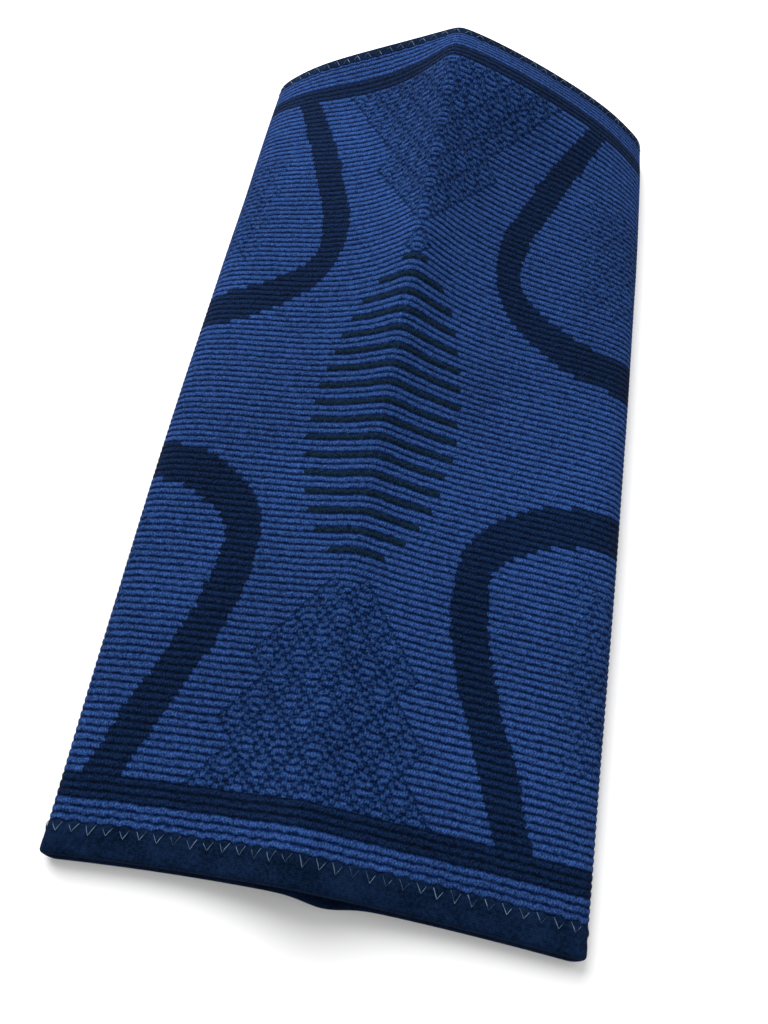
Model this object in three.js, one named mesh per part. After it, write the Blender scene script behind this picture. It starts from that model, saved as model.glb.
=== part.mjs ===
import * as THREE from 'three';

// Driving sizes in millimetres
const sleeveLength = 280;
const flatWidth = 142;
const tallestRidge = 48;
const wallThickness = 2.4;
const calfBindingHeight = 8;
const thighBindingHeight = 4.5;
const bindingTape = 0.6;
const seamGap = 0.3;
const foldGap = 0.9;
const foldReach = 1.6;
const creaseRadius = 1.6;
const backOverhang = 0.7;
const backBulge = 1.5;
const backBulgePlace = 9;
const backBulgeSpread = 7;

// Sections at equal steps from the near hem to the far hem.
// Widths are shares of flatWidth, ridge and shoulder are shares of tallestRidge.
// Sag 0 is a straight flank and sag 1 hollows it towards the shoulder.
// Draw is how far the side folds reach past the crease along the sleeve, in shares of flatWidth.
const sections = [
  { left: 0.444, right: 0.521, ridge: 0.333, shoulder: 0.018, sagLeft: 1.00, sagRight: 0.96, draw: -0.017 },
  { left: 0.448, right: 0.523, ridge: 0.358, shoulder: 0.042, sagLeft: 1.02, sagRight: 1.01, draw: -0.018 },
  { left: 0.453, right: 0.524, ridge: 0.363, shoulder: 0.069, sagLeft: 1.03, sagRight: 1.06, draw: -0.018 },
  { left: 0.457, right: 0.526, ridge: 0.371, shoulder: 0.096, sagLeft: 1.04, sagRight: 1.11, draw: -0.018 },
  { left: 0.461, right: 0.528, ridge: 0.388, shoulder: 0.119, sagLeft: 1.04, sagRight: 1.14, draw: -0.018 },
  { left: 0.465, right: 0.530, ridge: 0.408, shoulder: 0.138, sagLeft: 1.03, sagRight: 1.16, draw: -0.017 },
  { left: 0.468, right: 0.531, ridge: 0.442, shoulder: 0.154, sagLeft: 1.00, sagRight: 1.14, draw: -0.017 },
  { left: 0.470, right: 0.532, ridge: 0.500, shoulder: 0.169, sagLeft: 0.96, sagRight: 1.08, draw: -0.016 },
  { left: 0.471, right: 0.533, ridge: 0.583, shoulder: 0.183, sagLeft: 0.92, sagRight: 0.98, draw: -0.014 },
  { left: 0.472, right: 0.533, ridge: 0.679, shoulder: 0.196, sagLeft: 0.86, sagRight: 0.84, draw: -0.012 },
  { left: 0.473, right: 0.533, ridge: 0.760, shoulder: 0.208, sagLeft: 0.78, sagRight: 0.66, draw: -0.009 },
  { left: 0.473, right: 0.533, ridge: 0.825, shoulder: 0.221, sagLeft: 0.70, sagRight: 0.45, draw: -0.006 },
  { left: 0.475, right: 0.531, ridge: 0.900, shoulder: 0.233, sagLeft: 0.60, sagRight: 0.20, draw: -0.002 },
  { left: 0.476, right: 0.528, ridge: 1.000, shoulder: 0.246, sagLeft: 0.50, sagRight: -0.12, draw: 0.002 },
  { left: 0.478, right: 0.524, ridge: 0.930, shoulder: 0.210, sagLeft: 0.02, sagRight: -0.12, draw: 0.004 },
];

// Shares of the half width from the crease outwards, then shares of the shoulder height down the fold
const flankShares = [0.012, 0.035, 0.07, 0.12, 0.19, 0.27, 0.36, 0.46, 0.56, 0.66, 0.75, 0.82];
const foldShares = [0.78, 0.66, 0.52, 0.38, 0.24, 0.11, 0];
const underAngles = [30, 60, 90];
const backShares = [0.75, 0.5, 0.34, 0.22, 0.12, 0.05];
const stationCount = 34;

const floorOfBore = wallThickness;
const foldLevel = wallThickness + foldGap;

function sectionAt(along) {
  const place = along * (sections.length - 1);
  const row = Math.min(Math.floor(place) + 1, sections.length - 1);
  const before = sections[Math.max(row - 2, 0)];
  const from = sections[row - 1];
  const to = sections[row];
  const after = sections[Math.min(row + 1, sections.length - 1)];
  const u = place - (row - 1);
  const blend = {};
  for (const name of Object.keys(from)) {
    const slopeIn = (to[name] - before[name]) / 2;
    const slopeOut = (after[name] - from[name]) / 2;
    blend[name] = from[name] * (1 + 2 * u) * (1 - u) ** 2 + slopeIn * u * (1 - u) ** 2
      + to[name] * u * u * (3 - 2 * u) + slopeOut * u * u * (u - 1);
  }
  return blend;
}

// Height of the bore above its fold level on one flank
function flankHeight(section, side, share) {
  const sag = side < 0 ? section.sagLeft : section.sagRight;
  const ridge = section.ridge * tallestRidge - wallThickness - foldLevel;
  const shoulder = section.shoulder * tallestRidge;
  const soft = creaseRadius / (flatWidth / 2);
  const away = Math.sqrt(share * share + soft * soft) - soft;
  const flank = (1 - sag) * (1 - away) + sag * (1 - away) ** 4;
  return shoulder * (1 - share ** 4) ** 0.25 + (ridge - shoulder) * flank * (1 - share ** 12);
}

// One side of the bore from the crease round the fold to the middle of the back
function halfBore(section, side) {
  const reach = (side < 0 ? section.left : section.right) * flatWidth - wallThickness;
  const shares = [0, ...flankShares, ...foldShares.map((level) => (1 - level ** 4) ** 0.25)];
  const points = shares.map((share) => ({
    x: side * reach * share,
    z: foldLevel + flankHeight(section, side, share),
    spread: share * share,
    back: 0,
  }));
  for (const angle of underAngles) {
    const turn = THREE.MathUtils.degToRad(angle);
    const x = reach - foldReach * (1 - Math.cos(turn));
    const z = foldLevel - foldGap * Math.sin(turn);
    points.push({ x: side * x, z, spread: (x / reach) ** 2, back: Math.sin(turn) });
  }
  for (const share of [...backShares, 0]) {
    const x = (reach - foldReach) * share;
    points.push({ x: side * x, z: floorOfBore, spread: (x / reach) ** 2, back: 1 });
  }
  return points;
}

// Closed bore outline with outward directions, at a distance from the near hem
function boreAt(distance) {
  const section = sectionAt(distance / sleeveLength);
  const left = halfBore(section, -1);
  const right = halfBore(section, 1);
  const outline = [...left, ...right.slice(1, -1).reverse()];
  const hemNear = Math.exp(-distance / (3 * calfBindingHeight));
  outline.forEach((point, index) => {
    const before = outline[(index + outline.length - 1) % outline.length];
    const after = outline[(index + 1) % outline.length];
    const stepIn = Math.hypot(point.x - before.x, point.z - before.z);
    const stepOut = Math.hypot(after.x - point.x, after.z - point.z);
    const alongX = (point.x - before.x) / stepIn + (after.x - point.x) / stepOut;
    const alongZ = (point.z - before.z) / stepIn + (after.z - point.z) / stepOut;
    const size = Math.hypot(alongX, alongZ);
    point.outX = alongZ / size;
    point.outZ = -alongX / size;
    const bulge = backBulge * Math.exp(-(((point.x - backBulgePlace) / backBulgeSpread) ** 2));
    const draw = section.draw * flatWidth * point.spread;
    point.y = distance + draw - point.back * hemNear * (backOverhang + bulge);
  });
  return outline;
}

// Sweeps a closed profile of distances and depths right round the sleeve
function sweepRound(profile) {
  const rings = profile.map(({ distance, depth }) => boreAt(distance).map((point) => [
    point.x + point.outX * depth,
    point.y - sleeveLength / 2,
    point.z + point.outZ * depth,
  ]));
  const around = rings[0].length;
  const index = [];
  rings.forEach((ring, row) => {
    const next = (row + 1) % rings.length;
    for (let column = 0; column < around; column += 1) {
      const beside = (column + 1) % around;
      const a = row * around + column;
      const b = row * around + beside;
      const c = next * around + beside;
      const d = next * around + column;
      index.push(a, b, c, a, c, d);
    }
  });
  const geometry = new THREE.BufferGeometry();
  geometry.setAttribute('position', new THREE.Float32BufferAttribute(rings.flat(2), 3));
  geometry.setIndex(index);
  geometry.computeVertexNormals();
  return geometry;
}

function makePiece(name, profile, colour, roughness) {
  const material = new THREE.MeshStandardMaterial({ color: colour, roughness, metalness: 0 });
  const piece = new THREE.Mesh(sweepRound(profile), material);
  piece.name = name;
  return piece;
}

// Knitted tube: full wall between the bindings, a squeezed core inside each binding
const coreIn = bindingTape + seamGap;
const coreOut = wallThickness - bindingTape - seamGap;
const coreEnd = bindingTape + seamGap;
const wallStart = calfBindingHeight + seamGap;
const wallEnd = sleeveLength - thighBindingHeight - seamGap;
const wallSpan = wallEnd - wallStart;
const stationStep = wallSpan / (stationCount - 1);
const stations = Array.from({ length: stationCount }, (_, row) => wallStart + stationStep * row);

const tubeProfile = [
  { distance: coreEnd, depth: coreOut },
  { distance: coreEnd, depth: coreIn },
  { distance: wallStart, depth: coreIn },
  ...stations.map((distance) => ({ distance, depth: 0 })),
  { distance: wallEnd, depth: coreIn },
  { distance: sleeveLength - coreEnd, depth: coreIn },
  { distance: sleeveLength - coreEnd, depth: coreOut },
  { distance: wallEnd, depth: coreOut },
  ...stations.toReversed().map((distance) => ({ distance, depth: wallThickness })),
  { distance: wallStart, depth: coreOut },
];

// Elastic binding folded over an end of the tube, as distances from that end
function tapeProfile(height) {
  return [
    { inward: height, depth: wallThickness },
    { inward: bindingTape, depth: wallThickness },
    { inward: 0, depth: wallThickness - bindingTape },
    { inward: 0, depth: bindingTape },
    { inward: bindingTape, depth: 0 },
    { inward: height, depth: 0 },
    { inward: height, depth: bindingTape },
    { inward: bindingTape, depth: bindingTape },
    { inward: bindingTape, depth: wallThickness - bindingTape },
    { inward: height, depth: wallThickness - bindingTape },
  ];
}
const nearTape = tapeProfile(calfBindingHeight).map(({ inward, depth }) => ({ distance: inward, depth }));
const farTape = tapeProfile(thighBindingHeight).toReversed()
  .map(({ inward, depth }) => ({ distance: sleeveLength - inward, depth }));

const sleeve = new THREE.Group();
sleeve.name = 'knee_sleeve';
sleeve.add(makePiece('knit_tube', tubeProfile, 0x2a4b93, 0.95));
sleeve.add(makePiece('calf_binding', nearTape, 0x0c1a38, 0.85));
sleeve.add(makePiece('thigh_binding', farTape, 0x0c1a38, 0.85));

const box = new THREE.Box3().setFromObject(sleeve);
const middle = box.getCenter(new THREE.Vector3());
sleeve.children.forEach((piece) => piece.geometry.translate(-middle.x, -middle.y, -box.min.z));

export default sleeve;
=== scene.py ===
import math
import random

import bmesh
import bpy
import numpy as np
from mathutils import Matrix, Vector


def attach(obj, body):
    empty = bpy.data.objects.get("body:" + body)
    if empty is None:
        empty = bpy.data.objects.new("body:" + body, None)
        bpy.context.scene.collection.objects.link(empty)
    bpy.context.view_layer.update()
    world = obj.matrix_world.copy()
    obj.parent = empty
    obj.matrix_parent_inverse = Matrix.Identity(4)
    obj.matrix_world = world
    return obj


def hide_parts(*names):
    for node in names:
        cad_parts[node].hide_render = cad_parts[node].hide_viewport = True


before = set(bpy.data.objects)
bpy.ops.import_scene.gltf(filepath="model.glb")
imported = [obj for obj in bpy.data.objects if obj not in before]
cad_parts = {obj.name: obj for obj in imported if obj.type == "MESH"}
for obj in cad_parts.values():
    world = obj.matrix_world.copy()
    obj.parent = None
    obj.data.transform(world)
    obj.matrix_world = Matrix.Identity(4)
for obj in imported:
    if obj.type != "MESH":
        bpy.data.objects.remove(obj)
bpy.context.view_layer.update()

random.seed(11)
mm = 0.001

# sizes in mm, the same as the solids have
sleeve = {
    "length": 280, "flatWidth": 142, "ridge": 48, "wall": 2.4, "ribPitch": 2.0,
    "calfTape": 8, "thighTape": 4.5,
    "foldGap": 0.9, "foldReach": 1.6, "creaseRadius": 1.6,
    "overhang": 0.7, "overhangFade": 24, "bulge": 1.5, "bulgeAt": 9, "bulgeSpread": 7,
    "flankPower": 4, "shoulderPower": 4, "foldPower": 12,
}
foldLevel = sleeve["wall"] + sleeve["foldGap"]

# sections at equal steps from the calf hem to the thigh hem
# left, right and draw are shares of the flat width, ridge and shoulder of the ridge height
# sag 0 is a straight flank and sag 1 hollows it, draw is how far the side folds reach past the crease
sectionRows = [
    # left, right, ridge, shoulder, sagLeft, sagRight, draw
    (0.444, 0.521, 0.333, 0.018, 1.00, 0.96, -0.017),
    (0.448, 0.523, 0.358, 0.042, 1.02, 1.01, -0.018),
    (0.453, 0.524, 0.363, 0.069, 1.03, 1.06, -0.018),
    (0.457, 0.526, 0.371, 0.096, 1.04, 1.11, -0.018),
    (0.461, 0.528, 0.388, 0.119, 1.04, 1.14, -0.018),
    (0.465, 0.530, 0.408, 0.138, 1.03, 1.16, -0.017),
    (0.468, 0.531, 0.442, 0.154, 1.00, 1.14, -0.017),
    (0.470, 0.532, 0.500, 0.169, 0.96, 1.08, -0.016),
    (0.471, 0.533, 0.583, 0.183, 0.92, 0.98, -0.014),
    (0.472, 0.533, 0.679, 0.196, 0.86, 0.84, -0.012),
    (0.473, 0.533, 0.760, 0.208, 0.78, 0.66, -0.009),
    (0.473, 0.533, 0.825, 0.221, 0.70, 0.45, -0.006),
    (0.475, 0.531, 0.900, 0.233, 0.60, 0.20, -0.002),
    (0.476, 0.528, 1.000, 0.246, 0.50, -0.12, 0.002),
    (0.478, 0.524, 0.930, 0.210, 0.02, -0.12, 0.004),
]
sectionTable = np.array(sectionRows)


def sectionAt(along):
    # smooth curve through the rows of the table
    rows = sectionTable
    place = along * (len(rows) - 1)
    row = min(int(place) + 1, len(rows) - 1)
    before, start = rows[max(row - 2, 0)], rows[row - 1]
    end, after = rows[row], rows[min(row + 1, len(rows) - 1)]
    u = place - (row - 1)
    slopeIn, slopeOut = (end - before) / 2, (after - start) / 2
    blend = start * (1 + 2 * u) * (1 - u) ** 2 + slopeIn * u * (1 - u) ** 2
    blend = blend + end * u * u * (3 - 2 * u) + slopeOut * u * u * (u - 1)
    names = ("left", "right", "ridge", "shoulder", "sagLeft", "sagRight", "draw")
    return dict(zip(names, blend))


# shares of the half width, closer together at the crease and down the rounded side
creaseShares = np.linspace(0, 0.12, 13)
flankShares = np.linspace(0.135, 0.83, 45)
foldShares = (1 - np.linspace(0.84, 0, 26) ** sleeve["shoulderPower"]) ** (1 / sleeve["shoulderPower"])
frontShares = np.concatenate([creaseShares, flankShares, foldShares])
underTurns = np.radians(np.linspace(11.25, 90, 8))
backShares = np.linspace(0.975, 0, 40)


def halfBore(section, side):
    # the inside of one half from the crease round the fold to the middle of the back
    sag = section["sagLeft"] if side < 0 else section["sagRight"]
    reach = (section["left"] if side < 0 else section["right"]) * sleeve["flatWidth"] - sleeve["wall"]
    ridge = section["ridge"] * sleeve["ridge"] - sleeve["wall"] - foldLevel
    shoulder = section["shoulder"] * sleeve["ridge"]
    soft = sleeve["creaseRadius"] / (sleeve["flatWidth"] / 2)
    share = frontShares
    away = np.sqrt(share ** 2 + soft ** 2) - soft
    flank = (1 - sag) * (1 - away) + sag * (1 - away) ** sleeve["flankPower"]
    height = shoulder * np.clip(1 - share ** sleeve["shoulderPower"], 0, 1) ** (1 / sleeve["shoulderPower"])
    height = height + (ridge - shoulder) * flank * (1 - share ** sleeve["foldPower"])
    x = np.concatenate([reach * share, reach - sleeve["foldReach"] * (1 - np.cos(underTurns)),
                        (reach - sleeve["foldReach"]) * backShares]) * side
    z = np.concatenate([foldLevel + height, foldLevel - sleeve["foldGap"] * np.sin(underTurns),
                        np.full(len(backShares), float(sleeve["wall"]))])
    spread = (x / reach) ** 2
    back = np.concatenate([0 * share, np.sin(underTurns), 1 + 0 * backShares])
    return np.stack([x, z, spread, back])


def outlineAt(distance):
    # closed outline of the bore with its outward directions, and how many points the left half has
    section = sectionAt(min(max(distance / sleeve["length"], 0), 1))
    left, right = halfBore(section, -1), halfBore(section, 1)
    x, z, spread, back = np.concatenate([left, right[:, -2:0:-1]], axis=1)
    xBefore, zBefore, xAfter, zAfter = np.roll(x, 1), np.roll(z, 1), np.roll(x, -1), np.roll(z, -1)
    stepIn = np.hypot(x - xBefore, z - zBefore) + 1e-9
    stepOut = np.hypot(xAfter - x, zAfter - z) + 1e-9
    alongX = (x - xBefore) / stepIn + (xAfter - x) / stepOut
    alongZ = (z - zBefore) / stepIn + (zAfter - z) / stepOut
    size = np.hypot(alongX, alongZ) + 1e-9
    hemNear = math.exp(-max(distance, 0) / sleeve["overhangFade"])
    bulge = sleeve["bulge"] * np.exp(-((x - sleeve["bulgeAt"]) / sleeve["bulgeSpread"]) ** 2)
    y = distance + section["draw"] * sleeve["flatWidth"] * spread
    y = y - back * hemNear * (sleeve["overhang"] + bulge) - sleeve["length"] / 2
    points = np.stack([x, y, z], axis=1)
    outward = np.stack([alongZ / size, 0 * x, -alongX / size], axis=1)
    return points, outward, left.shape[1]


# the solids are centred on their box, so the same shift is worked out here
spots = [outlineAt(d)[0] + outlineAt(d)[1] * sleeve["wall"] for d in np.linspace(0, sleeve["length"], 90)]
spots = np.concatenate(spots)
centre = (spots.min(axis=0) + spots.max(axis=0)) / 2
centre[2] = 0


def halfPath(distance, half):
    # one half of the bore from the crease to the middle of the back, and mm along the wall's outside
    points, outward, leftCount = outlineAt(distance)
    order = np.arange(leftCount)
    if half:
        order = np.concatenate([[0], np.arange(len(points) - 1, leftCount - 2, -1)])
    points, outward = points[order], outward[order]
    surface = points + outward * sleeve["wall"]
    arc = np.concatenate([[0], np.cumsum(np.linalg.norm(np.diff(surface[:, ::2], axis=0), axis=1))])
    return points, outward, arc


def ringAt(distance, depths, columns):
    # points round the sleeve at the given shares of the way from crease to back, left half then right half
    found = []
    for half in (0, 1):
        points, outward, arc = halfPath(distance, half)
        wanted = columns * arc[-1]
        place = np.stack([np.interp(wanted, arc, points[:, i]) for i in range(3)], axis=1)
        away = np.stack([np.interp(wanted, arc, outward[:, i]) for i in range(3)], axis=1)
        away = away / (np.linalg.norm(away, axis=1, keepdims=True) + 1e-9)
        depth = depths(wanted, half)
        found.append((place + away * np.reshape(depth, (-1, 1)) - centre, wanted))
    return found


def sweptShell(name, distances, columns, depths, slides):
    # a grid swept right round the sleeve, welded at the middle of the back, with cloth coordinates
    # depths gives mm out from the bore, slides gives mm along the sleeve
    mesh = bpy.data.meshes.new(name)
    bm = bmesh.new()
    across = 2 * (len(columns) - 1)
    rows = len(distances) - 1
    uvLayer = bm.loops.layers.uv.new("cloth")
    bmesh.ops.create_grid(bm, x_segments=across, y_segments=rows, size=1)
    places = np.zeros((rows + 1, across + 1, 3))
    arcs = np.zeros((rows + 1, across + 1))
    for row, distance in enumerate(distances):
        halves = ringAt(distance, lambda u, half: depths(row, distance, u, half), columns)
        (left, leftArc), (right, rightArc) = halves
        left[:, 1] += slides(row, distance, leftArc, 0)
        right[:, 1] += slides(row, distance, rightArc, 1)
        places[row] = np.concatenate([left[::-1], right[1:]])
        arcs[row] = np.concatenate([leftArc[::-1], rightArc[1:]])
    bm.verts.index_update()
    cells = {}
    for vert in bm.verts:
        column = round((vert.co.x + 1) / 2 * across)
        row = round((vert.co.y + 1) / 2 * rows)
        cells[vert.index] = (arcs[row, column], (distances[row] - clothStart) / sleeve["ribPitch"])
        vert.co = Vector(places[row, column]) * mm
    for face in bm.faces:
        face.smooth = True
        for loop in face.loops:
            loop[uvLayer].uv = cells[loop.vert.index]
    bmesh.ops.remove_doubles(bm, verts=bm.verts, dist=0.002 * mm)  # the back's middle and the last row
    bmesh.ops.recalc_face_normals(bm, faces=bm.faces)
    bm.to_mesh(mesh)
    bm.free()
    piece = bpy.data.objects.new(name, mesh)
    bpy.context.collection.objects.link(piece)
    return piece


# cloth coordinates: u is mm from the crease, v counts ribs from the calf band's upper edge
clothStart = 20
# each wave is its height in mm, then its turn for each mm round the sleeve and along it
knit = {
    "rowsPerRib": 4, "relief": 0.38, "ribPower": 0.6, "sunk": 0.3, "squeezed": 1.5, "riseOver": 1.2,
    "hemClear": 0.9, "hemDepth": 0.9, "insideDepth": 0.1, "insideFrom": 0.5, "insideRows": 60,
    "frontShare": 0.56, "frontColumns": 63, "backColumns": 15, "seamFade": 4,
    "longWave": (0.07, 0.45, 0.37), "shortWave": (0.05, 1.3, 0.53),
}
# elastic tape folded over each hem, pulled in under its zigzag
# phase is mm from the crease to the first stitch, left and right
tape = {
    "thick": 0.65, "proud": 0.1, "bend": 1.3, "lip": 0.7, "rowsPerMm": 2, "insideRows": 6, "columns": 260,
    "pitch": 4.3, "phase": (1.4, 2.9), "pull": 0.32, "pullReach": 3.0, "edgeWave": 0.4, "waveReach": 2.5,
    "dimple": 0.5, "dimpleAt": 3.4, "dimpleReach": 0.7, "dimplePower": 5, "edgeDrop": 0.25, "edgeReach": 1.2,
}


def ribHeight(distance):
    # puffy ribs with narrow grooves between them
    return abs(math.sin(math.pi * (distance - clothStart) / sleeve["ribPitch"])) ** knit["ribPower"]


def pastTape(distance):
    # mm from the nearer binding's edge, below zero under the tape
    return min(distance - sleeve["calfTape"], sleeve["length"] - sleeve["thighTape"] - distance)


def knitDepth(distance):
    # mm out from the bore, squeezed thin under the tapes
    full = sleeve["wall"] - knit["sunk"] + knit["relief"] * ribHeight(distance)
    rise = min(max(pastTape(distance) / knit["riseOver"] + 0.5, 0), 1)
    return knit["squeezed"] + (full - knit["squeezed"]) * rise * rise * (3 - 2 * rise)


def seamFade(u):
    # falls to nothing at the crease and at the middle of the back, where the halves meet
    return np.minimum(1, np.minimum(u, u[-1] - u) / knit["seamFade"])


def stitchWave(u, half):
    # 1 at each stitch of the zigzag and -1 midway
    return np.cos(2 * math.pi * (u - tape["phase"][half]) / tape["pitch"])


def ribWave(distance, u, half):
    # ribs wander a little, and the zigzag pulls the ones beside each hem
    side = 1 if half else -1
    high, across, along = knit["longWave"]
    wander = high * np.sin(across * side * u + along * distance)
    high, across, along = knit["shortWave"]
    wander = wander + high * np.sin(across * u - along * distance + 2 * half)
    pulled = tape["pull"] * math.exp(-max(pastTape(distance), 0) / tape["pullReach"]) * stitchWave(u, half)
    return (wander + (pulled if distance < sleeve["length"] / 2 else -pulled)) * seamFade(u)


# rows of the tube out along the outside and back along the inside; 0.01 takes the last row in
step = sleeve["ribPitch"] / knit["rowsPerRib"]
outsideRows = np.arange(knit["hemClear"], sleeve["length"] - knit["hemClear"] + 0.01, step)
insideRows = np.linspace(outsideRows[-1], outsideRows[0], knit["insideRows"])
tubeRows = [(d, knitDepth(d)) for d in outsideRows]
for d in insideRows:
    tubeRows.append((d, knit["hemDepth"] if pastTape(d) < knit["insideFrom"] else knit["insideDepth"]))
tubeRows.append(tubeRows[0])
frontColumns = np.linspace(0, knit["frontShare"], knit["frontColumns"])
backColumns = np.linspace(knit["frontShare"], 1, knit["backColumns"])
tubeColumns = np.concatenate([frontColumns, backColumns[1:]])

tube = sweptShell("knit_sleeve", [d for d, _ in tubeRows], tubeColumns,
                  lambda row, distance, u, half: np.full(len(u), tubeRows[row][1]),
                  lambda row, distance, u, half: ribWave(distance, u, half))
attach(tube, "root")
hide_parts("knit_tube")
print("knit sleeve", len(tube.data.polygons), "faces")


def tapeProfile(height):
    # inward distance and depth round the folded tape, outside first
    outer, thick, bend, lip = sleeve["wall"] + tape["proud"], tape["thick"], tape["bend"], tape["lip"]
    outside = [(d, outer) for d in np.linspace(height, bend, int(tape["rowsPerMm"] * height))]
    turns = np.radians(np.arange(20, 180, 20))
    hem = [(bend - bend * math.sin(turn), outer / 2 + outer / 2 * math.cos(turn)) for turn in turns]
    inside = [(d, 0.0) for d in np.linspace(bend, height, tape["insideRows"])]
    between = [(height, thick), (lip, thick), (lip, outer - thick), (height, outer - thick)]
    return outside + hem + inside + between


def makeBinding(name, fromFarEnd):
    height = sleeve["thighTape"] if fromFarEnd else sleeve["calfTape"]
    profile = tapeProfile(height)
    rows = profile + [profile[0]]
    if fromFarEnd:
        rows = rows[::-1]
    ends = [sleeve["length"] - d if fromFarEnd else d for d, _ in rows]

    def depth(row, distance, u, half):
        inward, deep = rows[row]
        if deep <= sleeve["wall"] or inward < 0.9 * tape["bend"]:
            return deep + 0 * u
        wave = 0.5 + 0.5 * stitchWave(u, half)
        pull = math.exp(-((height - inward - tape["dimpleAt"]) / tape["dimpleReach"]) ** 2)
        edge = math.exp(-((height - inward) / tape["edgeReach"]) ** 2)
        dimple = tape["dimple"] * pull * wave ** tape["dimplePower"] * seamFade(u)
        return deep - dimple - tape["edgeDrop"] * edge

    def slide(row, distance, u, half):
        inward, deep = rows[row]
        nearEdge = max(1 - (height - inward) / tape["waveReach"], 0) if deep > sleeve["wall"] else 0
        return tape["edgeWave"] * nearEdge * stitchWave(u, half) * seamFade(u) * (-1 if fromFarEnd else 1)

    piece = sweptShell(name, ends, np.linspace(0, 1, tape["columns"]), depth, slide)
    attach(piece, "root")
    print(name, len(piece.data.polygons), "faces")
    return piece


calfBinding = makeBinding("calf_tape", False)
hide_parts("calf_binding")
thighBinding = makeBinding("thigh_tape", True)
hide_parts("thigh_binding")

# zigzag thread: one curve spline for each leg of a V, then one mesh for each hem
# the ranges are for random draws, and calfPlace and thighPlace are where the hem's length is measured
thread = {
    "radius": 0.12, "top": 0.1, "bottom": 2.6, "width": 1.25, "lift": 0.16, "sink": 0.02, "second": 0.62,
    "steps": 4, "calfPlace": 6, "thighPlace": 1, "lastDrop": 0.5, "endShare": 0.08, "endThin": 0.7,
    "edgeNear": 0.8, "edgeDrop": 0.12,
    "leanRange": (-0.15, 0.15), "topRange": (-0.35, 0.1), "bottomRange": (-0.25, 0.3),
    "thickRange": (0.8, 1.05),
}


def clothPoint(u, distance, depth):
    # a single point on the cloth; u below zero is left of the crease
    points, outward, arc = halfPath(distance, 0 if u < 0 else 1)
    u = min(abs(u), arc[-1])
    place = np.array([np.interp(u, arc, points[:, i]) for i in range(3)])
    away = np.array([np.interp(u, arc, outward[:, i]) for i in range(3)])
    return Vector((place + away / np.linalg.norm(away) * depth - centre) * mm)


def makeThread(name, fromFarEnd):
    curve = bpy.data.curves.new(name, "CURVE")
    curve.dimensions = "3D"
    curve.bevel_depth = thread["radius"] * mm
    curve.bevel_resolution = 1
    height = sleeve["thighTape"] if fromFarEnd else sleeve["calfTape"]
    for half, side in enumerate((-1, 1)):
        place = sleeve["length"] - thread["thighPlace"] if fromFarEnd else thread["calfPlace"]
        count = int(halfPath(place, half)[2][-1] / tape["pitch"])
        for number in range(count):
            start = number * tape["pitch"] + tape["phase"][half] - thread["width"]
            lean = random.uniform(*thread["leanRange"])
            top = height - thread["top"] + random.uniform(*thread["topRange"])
            bottom = height - thread["bottom"] + random.uniform(*thread["bottomRange"])
            middle = start + thread["width"] + lean
            last = (start + 2 * thread["width"], top - thread["lastDrop"])
            legs = [((start, top), (middle, bottom)), ((middle, bottom), last)]
            for leg, ((u0, in0), (u1, in1)) in enumerate(legs):
                thick = thread["second"] if leg else random.uniform(*thread["thickRange"])
                spline = curve.splines.new("POLY")
                spline.points.add(thread["steps"])
                for i, point in enumerate(spline.points):
                    t = i / thread["steps"]
                    inward = in0 + (in1 - in0) * t
                    inner = min(max(t, thread["endShare"]), 1 - thread["endShare"])
                    lift = thread["lift"] * math.sin(math.pi * inner) - thread["sink"]
                    if inward > height - thread["edgeNear"]:
                        lift = lift - thread["edgeDrop"]
                    distance = sleeve["length"] - inward if fromFarEnd else inward
                    u = side * max(u0 + (u1 - u0) * t, 0.01)  # stays on its own half
                    point.co = (*clothPoint(u, distance, sleeve["wall"] + tape["proud"] + lift), 1)
                    full = math.sin(math.pi * t)
                    point.radius = thick * (thread["endThin"] + (1 - thread["endThin"]) * full)
    made = bpy.data.objects.new(name + "_curve", curve)
    bpy.context.collection.objects.link(made)
    bpy.context.view_layer.update()
    mesh = bpy.data.meshes.new_from_object(made.evaluated_get(bpy.context.evaluated_depsgraph_get()))
    bpy.data.objects.remove(made)
    mesh.name = name
    piece = bpy.data.objects.new(name, mesh)
    for face in mesh.polygons:
        face.use_smooth = True
    bpy.context.collection.objects.link(piece)
    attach(piece, "root")
    print(name, len(mesh.polygons), "faces")
    return piece


calfThread = makeThread("calf_zigzag", False)
thighThread = makeThread("thigh_zigzag", True)


def linear(*screen):
    # red, green and blue out of 255 as the shader's linear colour
    found = [c / 255 / 12.92 if c <= 10 else ((c / 255 + 0.055) / 1.055) ** 2.4 for c in screen]
    return (*found, 1)


def newMaterial(name, roughness, specular):
    material = bpy.data.materials.new(name)
    material.use_nodes = True
    tree = material.node_tree
    shader = tree.nodes["Principled BSDF"]
    shader.inputs["Roughness"].default_value = roughness
    shader.inputs["Specular IOR Level"].default_value = specular
    return material, tree, shader


def calculator(tree):
    # calc("ADD", a, b) adds a math node; the inputs are sockets or numbers
    def calc(operation, *values):
        node = tree.nodes.new("ShaderNodeMath")
        node.operation = operation
        for socket, value in zip(node.inputs, values):
            if isinstance(value, (int, float)):
                socket.default_value = value
            else:
                tree.links.new(value, socket)
        return node.outputs[0]
    return calc


def smooth(tree, value, low, high):
    node = tree.nodes.new("ShaderNodeMapRange")
    node.interpolation_type = "SMOOTHSTEP"
    tree.links.new(value, node.inputs["Value"])
    node.inputs["From Min"].default_value = low
    node.inputs["From Max"].default_value = high
    return node.outputs["Result"]


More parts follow.
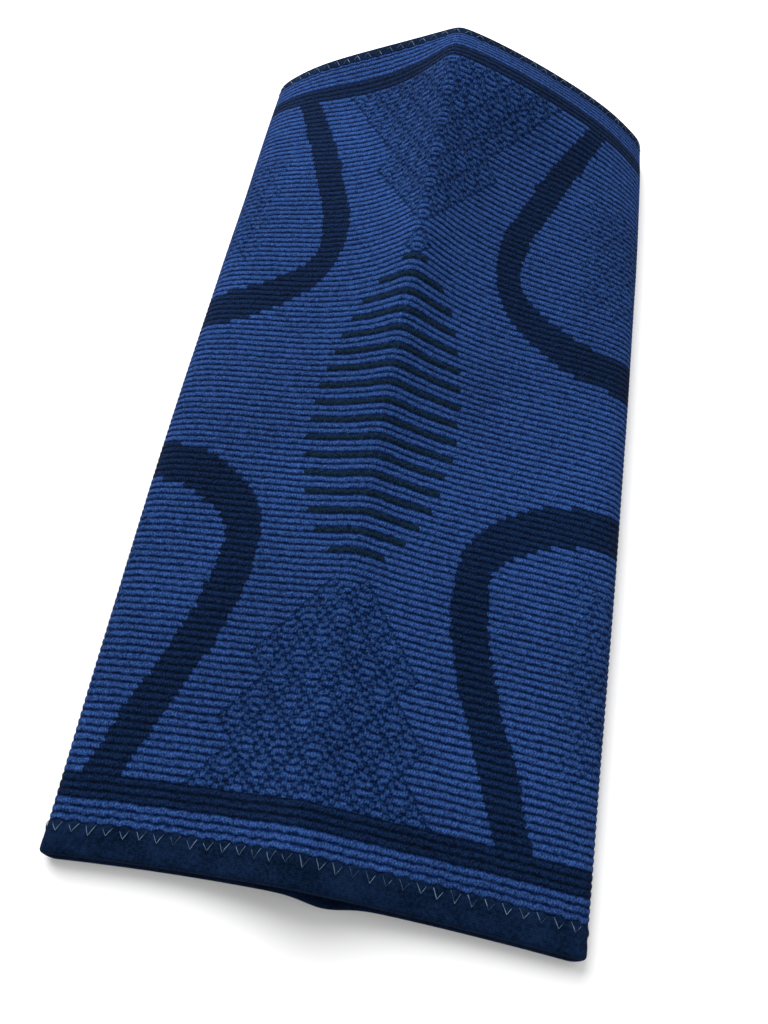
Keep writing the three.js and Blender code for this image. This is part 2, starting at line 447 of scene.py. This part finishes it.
def curveThrough(tree, value, points, xSpan, ySpan):
    # value runs 0..xSpan and the result 0..ySpan, straight between the points
    calc = calculator(tree)
    node = tree.nodes.new("ShaderNodeFloatCurve")
    tree.links.new(calc("DIVIDE", value, xSpan), node.inputs["Value"])
    curve = node.mapping.curves[0]
    while len(curve.points) > 2:
        curve.points.remove(curve.points[1])
    for place, (x, y) in enumerate(points):
        if place < 2:
            curve.points[place].location = (x / xSpan, y / ySpan)
        else:
            curve.points.new(x / xSpan, y / ySpan)
    for point in curve.points:
        point.handle_type = "VECTOR"
    node.mapping.update()
    return calc("MULTIPLY", node.outputs[0], ySpan)


def mixColour(tree, share, first, second):
    node = tree.nodes.new("ShaderNodeMix")
    node.data_type = "RGBA"
    tree.links.new(share, node.inputs["Factor"])
    for socket, value in ((node.inputs[6], first), (node.inputs[7], second)):
        if isinstance(value, tuple):
            socket.default_value = value
        else:
            tree.links.new(value, socket)
    return node.outputs[2]


def noise(tree, scale, detail=2.0):
    place = tree.nodes.new("ShaderNodeTexCoord")
    node = tree.nodes.new("ShaderNodeTexNoise")
    node.inputs["Scale"].default_value = scale
    node.inputs["Detail"].default_value = detail
    tree.links.new(place.outputs["Object"], node.inputs["Vector"])
    return node.outputs["Fac"]


# the knitted pattern, charted by rib: mm from the crease for each rib counted from the calf band
# evenUp keeps rib numbers above zero, and each side zone is mm from the crease, middle rib, half its ribs
pattern = {
    "wale": 0.8, "side": 75, "ribs": 120, "ribSpan": 130, "widthSpan": 110, "evenUp": 300,
    "bandInner": [
        (0, 50), (6, 45), (10, 42), (14, 38.5), (18, 34.5), (22, 32.5), (26, 30), (30, 29.2), (34, 29),
        (38, 30.5), (40, 32.5), (42, 35.5), (44, 40), (46, 45.5), (48, 54), (49, 66), (49.6, 109),
        (69.6, 109), (70.4, 66), (72, 55), (74, 48), (76, 42), (78, 37.5), (80, 34), (82, 31.5), (86, 29.5),
        (90, 29), (94, 30), (100, 35), (106, 39.5), (112, 45.5), (120, 55),
    ],
    "bandOuter": [
        (0, 60), (6, 55.5), (10, 53), (14, 49), (18, 46), (22, 43), (26, 41), (30, 39.7), (34, 39),
        (36, 40), (38, 43.5), (40, 49.5), (42, 58), (43, 68), (43.6, 109), (76, 109), (77, 68), (78, 60),
        (80, 51), (82, 44.5), (84, 39.7), (86, 38.4), (90, 38.2), (94, 40), (100, 45), (106, 49.5),
        (112, 55), (120, 63),
    ],
    "calfBand": -1.5, "thighBand": 121.5, "hemBandHalf": 1.3,
    "kneeMiddle": 57, "kneeRibs": 25, "kneeWidth": 23.8, "kneeEvery": 3,
    "stripeMiddle": 0.46, "stripeHalf": 0.38,
    "wedge": [
        (0, 31), (14, 23), (27, 13), (28.5, 0), (83, 0), (88, 5), (100, 18), (110, 29), (120, 40), (130, 40),
    ],
    "lowSide": (65, 24, 12), "highSide": (60, 96, 11), "sideShare": 0.55,
    "cellWide": 9.6, "cellTall": 12, "cellSquash": 0.72, "rimSlant": 0.55, "rimFrom": 2.0, "rimTo": 2.3,
}
# how strongly each part of the knit shows, and its relief in mm
knitLook = {
    "fuzzScale": 1500, "heatherScale": 700, "driftScale": 26, "ragged": 2.5, "rimRagged": 2.0,
    "knotLean": 0.08, "knotRagged": 0.5, "knotFrom": 0.15, "knotTo": 0.75,
    "knotPlain": 0.12, "knotShift": 0.2,
    # the stitch and groove entries below shape the painted shade in the grooves and between the stitches
    "stitchLean": 1.0, "stitchRagged": 1.6, "stitchShadeDepth": 0.48, "grooveRagged": 0.42, "grooveTo": 0.4,
    # the knot gaps' colour darkening is painted shade
    "knotGapShade": 0.5, "knotTint": 0.5, "zoneTint": 0.1,
    "bright": 1.05, "fuzz": 2.8, "drift": 0.8, "darkest": 0.3,
    "stitchHigh": 0.16, "fuzzHigh": 0.8, "heatherHigh": 0.9, "knotDeep": 0.12,
}
# the groove colours are painted shade for the hollows between the ribs
knitColours = {
    "rib": linear(40, 69, 123), "grooveShade": linear(0, 17, 52),
    "bandRib": linear(12, 31, 62), "bandGrooveShade": linear(0, 9, 28),
    "stripe": linear(14, 33, 48), "knot": linear(26, 54, 96),
}


def clothCoordinates(tree):
    cloth = tree.nodes.new("ShaderNodeUVMap")
    cloth.uv_map = "cloth"
    split = tree.nodes.new("ShaderNodeSeparateXYZ")
    tree.links.new(cloth.outputs["UV"], split.inputs[0])
    return split.outputs[0], split.outputs[1]


def bumpFrom(tree, shader, height):
    # relief in metres
    bump = tree.nodes.new("ShaderNodeBump")
    bump.inputs["Distance"].default_value = 1.0
    bump.inputs["Strength"].default_value = 1.0
    tree.links.new(height, bump.inputs["Height"])
    tree.links.new(bump.outputs[0], shader.inputs["Normal"])


def knitMaterial():
    material, tree, shader = newMaterial("rib_knit", 0.92, 0.05)
    calc = calculator(tree)

    def around(value, amount):
        # noise about its middle, times an amount
        return calc("MULTIPLY", calc("SUBTRACT", value, 0.5), amount)

    def foldedOver(value):
        # mm from the crease on the front, and on the back the front's mirrored at the side
        return calc("SUBTRACT", pattern["side"], calc("ABSOLUTE", calc("SUBTRACT", value, pattern["side"])))

    def chart(value, points):
        return curveThrough(tree, value, points, pattern["ribSpan"], pattern["widthSpan"])

    fromCrease, ribs = clothCoordinates(tree)
    rib = calc("FLOOR", ribs)
    ribMiddle = calc("ADD", rib, 0.5)
    inRib = calc("SUBTRACT", ribs, rib)
    betweenBands = calc("COMPARE", ribMiddle, pattern["ribs"] / 2, pattern["ribs"] / 2)
    frontOnly = calc("LESS_THAN", fromCrease, pattern["side"])
    fuzz = noise(tree, knitLook["fuzzScale"], 3)
    heather = noise(tree, knitLook["heatherScale"], 2)
    drift = noise(tree, knitLook["driftScale"], 2)
    # the back repeats the front's bands, folded over at the sides
    ragged = calc("ADD", foldedOver(fromCrease), around(heather, knitLook["ragged"]))
    stepped = calc("MULTIPLY", calc("ROUND", calc("DIVIDE", ragged, pattern["wale"])), pattern["wale"])
    inner = chart(ribMiddle, pattern["bandInner"])
    outer = chart(ribMiddle, pattern["bandOuter"])
    curved = calc("MULTIPLY", calc("GREATER_THAN", stepped, inner), calc("LESS_THAN", stepped, outer))
    curved = calc("MULTIPLY", curved, betweenBands)
    calfBand = calc("COMPARE", ribMiddle, pattern["calfBand"], pattern["hemBandHalf"])
    thighBand = calc("COMPARE", ribMiddle, pattern["thighBand"], pattern["hemBandHalf"])
    band = calc("MAXIMUM", curved, calc("MAXIMUM", calfBand, thighBand))
    # kneecap stripes: every third rib, longest in the middle
    along = calc("DIVIDE", calc("SUBTRACT", ribMiddle, pattern["kneeMiddle"]), pattern["kneeRibs"])
    reach = calc("SQRT", calc("MAXIMUM", calc("SUBTRACT", 1, calc("MULTIPLY", along, along)), 0))
    reach = calc("MULTIPLY", reach, pattern["kneeWidth"])
    positiveRib = calc("ADD", rib, pattern["evenUp"])
    third = calc("COMPARE", calc("MODULO", positiveRib, pattern["kneeEvery"]), 0, 0.3)
    stripe = calc("MULTIPLY", calc("LESS_THAN", stepped, reach), calc("MULTIPLY", third, frontOnly))
    stripe = calc("MULTIPLY", stripe, calc("COMPARE", inRib, pattern["stripeMiddle"], pattern["stripeHalf"]))
    # honeycomb cells in the texture zones: the nearer of two staggered grids of centres
    wide, tall = pattern["cellWide"], pattern["cellTall"]
    up = calc("MULTIPLY", ribs, sleeve["ribPitch"])
    found = []
    for shift in (0, 0.5):
        across = calc("ADD", calc("DIVIDE", fromCrease, wide), shift)
        upward = calc("ADD", calc("DIVIDE", up, tall), shift)
        dx = calc("MULTIPLY", calc("SUBTRACT", across, calc("ROUND", across)), wide)
        dy = calc("MULTIPLY", calc("SUBTRACT", upward, calc("ROUND", upward)), tall)
        squashed = calc("MULTIPLY", calc("MULTIPLY", dy, dy), pattern["cellSquash"])
        found.append((dx, dy, calc("ADD", calc("MULTIPLY", dx, dx), squashed)))
    (dx0, dy0, away0), (dx1, dy1, away1) = found
    nearer = calc("LESS_THAN", away0, away1)
    farther = calc("SUBTRACT", 1, nearer)
    cellX = calc("ADD", calc("MULTIPLY", nearer, dx0), calc("MULTIPLY", farther, dx1))
    cellY = calc("ADD", calc("MULTIPLY", nearer, dy0), calc("MULTIPLY", farther, dy1))
    slant = calc("MULTIPLY", calc("ABSOLUTE", cellY), pattern["rimSlant"])
    slant = calc("ADD", calc("ABSOLUTE", cellX), slant)
    slant = calc("ADD", slant, around(heather, knitLook["rimRagged"]))
    rim = smooth(tree, slant, pattern["rimFrom"], pattern["rimTo"])
    # a whole cell belongs to a zone or not, by its centre
    centreU = calc("SUBTRACT", fromCrease, cellX)
    centreRib = calc("SUBTRACT", ribs, calc("DIVIDE", cellY, sleeve["ribPitch"]))
    central = calc("MULTIPLY", calc("LESS_THAN", centreU, chart(centreRib, pattern["wedge"])), frontOnly)
    sides = []
    for fromU, middleRib, halfRibs in (pattern["lowSide"], pattern["highSide"]):
        beyond = calc("GREATER_THAN", foldedOver(centreU), fromU)
        sides.append(calc("MULTIPLY", beyond, calc("COMPARE", centreRib, middleRib, halfRibs)))
    zone = calc("MAXIMUM", central, calc("MULTIPLY", calc("MAXIMUM", *sides), pattern["sideShare"]))
    zone = calc("MULTIPLY", zone, calc("SUBTRACT", 1, band))
    zone = calc("MULTIPLY", zone, betweenBands)
    # knots: short ribs two stitches long, staggered from rib to rib
    odd = calc("MULTIPLY", calc("MODULO", positiveRib, 2), 0.5)
    knotPhase = calc("ADD", calc("DIVIDE", fromCrease, 2 * pattern["wale"]), odd)
    knotPhase = calc("ADD", knotPhase, calc("MULTIPLY", inRib, knitLook["knotLean"]))
    knotPhase = calc("ADD", knotPhase, around(heather, knitLook["knotRagged"]))
    knot = calc("ABSOLUTE", calc("SINE", calc("MULTIPLY", knotPhase, math.pi)))
    knotGap = calc("SUBTRACT", 1, smooth(tree, knot, knitLook["knotFrom"], knitLook["knotTo"]))
    inRim = calc("ADD", knitLook["knotPlain"], calc("MULTIPLY", rim, 1 - knitLook["knotPlain"]))
    knotShare = calc("MULTIPLY", zone, inRim)
    # in the rims every other knot sits off the line of its rib
    beside = calc("SUBTRACT", calc("MULTIPLY", calc("MODULO", calc("FLOOR", knotPhase), 2), 2), 1)
    shifted = calc("MULTIPLY", calc("MULTIPLY", beside, knotShare), knitLook["knotShift"])
    shifted = calc("FRACT", calc("ADD", inRib, shifted))
    knotted = calc("MULTIPLY", knotShare, knotGap)
    # stitches along each rib, leaning towards its middle
    fromMiddle = calc("ABSOLUTE", calc("SUBTRACT", shifted, 0.5))
    lean = calc("DIVIDE", fromCrease, pattern["wale"])
    lean = calc("ADD", lean, calc("MULTIPLY", fromMiddle, knitLook["stitchLean"]))
    lean = calc("ADD", lean, calc("MULTIPLY", heather, knitLook["stitchRagged"]))
    stitch = calc("ABSOLUTE", calc("SINE", calc("MULTIPLY", lean, math.pi)))
    # ridge is 0 in the grooves and 1 on top of the stitches; it mixes painted shade into the grooves and
    # leaves the crests lit
    ridge = calc("ADD", calc("SUBTRACT", 0.5, fromMiddle), around(heather, knitLook["grooveRagged"]))
    ridge = smooth(tree, ridge, 0.0, knitLook["grooveTo"])
    # painted shade between the stitches along each rib, darker where the loops dip
    paintedStitchShade = calc("ADD", 1 - knitLook["stitchShadeDepth"], calc("MULTIPLY", stitch, knitLook["stitchShadeDepth"]))
    ridge = calc("MULTIPLY", ridge, paintedStitchShade)
    # painted shade in the gaps between the knots, on top of their real dip
    ridge = calc("MULTIPLY", ridge, calc("SUBTRACT", 1, calc("MULTIPLY", knotted, knitLook["knotGapShade"])))
    # colour: grooves darkened with painted shade, knots, bands, then yarn variation
    tinted = calc("MULTIPLY", knotShare, knitLook["knotTint"])
    tinted = calc("MINIMUM", calc("ADD", tinted, calc("MULTIPLY", zone, knitLook["zoneTint"])), 1)
    ribColour = mixColour(tree, tinted, knitColours["rib"], knitColours["knot"])
    plain = mixColour(tree, ridge, knitColours["grooveShade"], ribColour)
    dark = mixColour(tree, ridge, knitColours["bandGrooveShade"], knitColours["bandRib"])
    colour = mixColour(tree, band, plain, dark)
    striped = mixColour(tree, ridge, knitColours["bandGrooveShade"], knitColours["stripe"])
    colour = mixColour(tree, stripe, colour, striped)
    shade = calc("ADD", knitLook["bright"], around(fuzz, knitLook["fuzz"]))
    shade = calc("MAXIMUM", calc("ADD", shade, around(drift, knitLook["drift"])), knitLook["darkest"])
    tint = tree.nodes.new("ShaderNodeVectorMath")
    tint.operation = "SCALE"
    tree.links.new(colour, tint.inputs[0])
    tree.links.new(shade, tint.inputs["Scale"])
    tree.links.new(tint.outputs[0], shader.inputs["Base Color"])
    height = calc("MULTIPLY", stitch, knitLook["stitchHigh"] * mm)
    height = calc("ADD", height, calc("MULTIPLY", fuzz, knitLook["fuzzHigh"] * mm))
    height = calc("ADD", height, calc("MULTIPLY", heather, knitLook["heatherHigh"] * mm))
    height = calc("SUBTRACT", height, calc("MULTIPLY", knotted, knitLook["knotDeep"] * mm))
    bumpFrom(tree, shader, height)
    return material


tapeLook = {
    "threadWide": 0.55, "rowsPerRib": 3.4, "fuzzScale": 1300, "driftScale": 130,
    "weave": 0.3, "base": -1.5, "drift": 1.6, "fuzz": 2.2, "weaveHigh": 0.05, "fuzzHigh": 0.05,
    "dark": linear(0, 11, 28), "light": linear(12, 29, 56),
}


def tapeMaterial():
    material, tree, shader = newMaterial("binding_tape", 0.9, 0.04)
    calc = calculator(tree)
    u, ribs = clothCoordinates(tree)
    crossing = calc("ABSOLUTE", calc("SINE", calc("MULTIPLY", u, math.pi / tapeLook["threadWide"])))
    row = calc("ABSOLUTE", calc("SINE", calc("MULTIPLY", ribs, math.pi * tapeLook["rowsPerRib"])))
    weave = calc("MULTIPLY", crossing, row)
    fuzz = noise(tree, tapeLook["fuzzScale"], 3)
    drift = noise(tree, tapeLook["driftScale"], 3)
    share = calc("ADD", tapeLook["base"], calc("MULTIPLY", drift, tapeLook["drift"]))
    share = calc("ADD", calc("MULTIPLY", weave, tapeLook["weave"]), share)
    share = calc("ADD", share, calc("MULTIPLY", fuzz, tapeLook["fuzz"]))
    colour = mixColour(tree, share, tapeLook["dark"], tapeLook["light"])
    tree.links.new(colour, shader.inputs["Base Color"])
    height = calc("MULTIPLY", weave, tapeLook["weaveHigh"] * mm)
    bumpFrom(tree, shader, calc("ADD", height, calc("MULTIPLY", fuzz, tapeLook["fuzzHigh"] * mm)))
    return material


threadLook = {
    "scale": 400, "spread": 4.0, "base": -1.6, "dark": linear(24, 44, 70), "light": linear(94, 116, 138),
}


def threadMaterial():
    material, tree, shader = newMaterial("zigzag_thread", 0.6, 0.2)
    calc = calculator(tree)
    share = calc("MULTIPLY", noise(tree, threadLook["scale"], 2), threadLook["spread"])
    share = calc("ADD", share, threadLook["base"])
    colour = mixColour(tree, share, threadLook["dark"], threadLook["light"])
    tree.links.new(colour, shader.inputs["Base Color"])
    return material


tube.data.materials.append(knitMaterial())
tapeCloth, threadYarn = tapeMaterial(), threadMaterial()
for piece in (calfBinding, thighBinding):
    piece.data.materials.append(tapeCloth)
for piece in (calfThread, thighThread):
    piece.data.materials.append(threadYarn)
print("materials done")

# pale floor, soft light from above and from the thigh end
studio = {"floorSize": 3, "floorShade": 0.9, "worldStrength": 0.58}
floorMesh = bpy.data.meshes.new("floor")
floorBm = bmesh.new()
bmesh.ops.create_grid(floorBm, x_segments=1, y_segments=1, size=studio["floorSize"])
floorBm.to_mesh(floorMesh)
floorBm.free()
floor = bpy.data.objects.new("floor", floorMesh)
bpy.context.collection.objects.link(floor)
floorLook, _, floorShader = newMaterial("pale_floor", 0.9, 0.1)
floorShader.inputs["Base Color"].default_value = (*[studio["floorShade"]] * 3, 1)
floorMesh.materials.append(floorLook)


def areaLight(name, place, target, size, power):
    light = bpy.data.lights.new(name, "AREA")
    light.shape = "DISK"
    light.size = size
    light.energy = power
    lamp = bpy.data.objects.new(name, light)
    bpy.context.collection.objects.link(lamp)
    lamp.location = place
    lamp.rotation_euler = (Vector(target) - Vector(place)).to_track_quat("-Z", "Y").to_euler()


areaLight("key_light", place=(-0.36, 0.52, 0.62), target=(0, 0.08, 0.02), size=0.9, power=13.5)
areaLight("fill_light", place=(0.6, 0.2, 1.0), target=(0, 0, 0.02), size=0.9, power=2.5)
world = bpy.data.worlds.new("studio")
bpy.context.scene.world = world
world.use_nodes = True
world.node_tree.nodes["Background"].inputs["Color"].default_value = (1, 1, 1, 1)
world.node_tree.nodes["Background"].inputs["Strength"].default_value = studio["worldStrength"]
bpy.context.scene.view_settings.view_transform = "Standard"

# camera at the photo's angle: high over the calf end, looking down along the sleeve
shot = {
    "tilt": 26.62, "turn": 5.70, "roll": 4.97, "place": (16.1, -147.2, 234.0), "focal": 850, "longSide": 1024,
    "sensor": 36,
}
camera = bpy.data.objects.new("camera", bpy.data.cameras.new("camera"))
bpy.context.collection.objects.link(camera)
turned = Matrix.Rotation(math.radians(shot["turn"]), 4, "Z")
turned = turned @ Matrix.Rotation(math.radians(shot["tilt"]), 4, "X")
turned = turned @ Matrix.Rotation(math.radians(shot["roll"]), 4, "Z")
camera.matrix_world = Matrix.Translation(Vector(np.array(shot["place"]) - centre) * mm) @ turned
camera.data.sensor_fit = "AUTO"
camera.data.sensor_width = shot["sensor"]
camera.data.lens = shot["focal"] / shot["longSide"] * shot["sensor"]
camera.data.clip_start = 0.01
bpy.context.scene.camera = camera
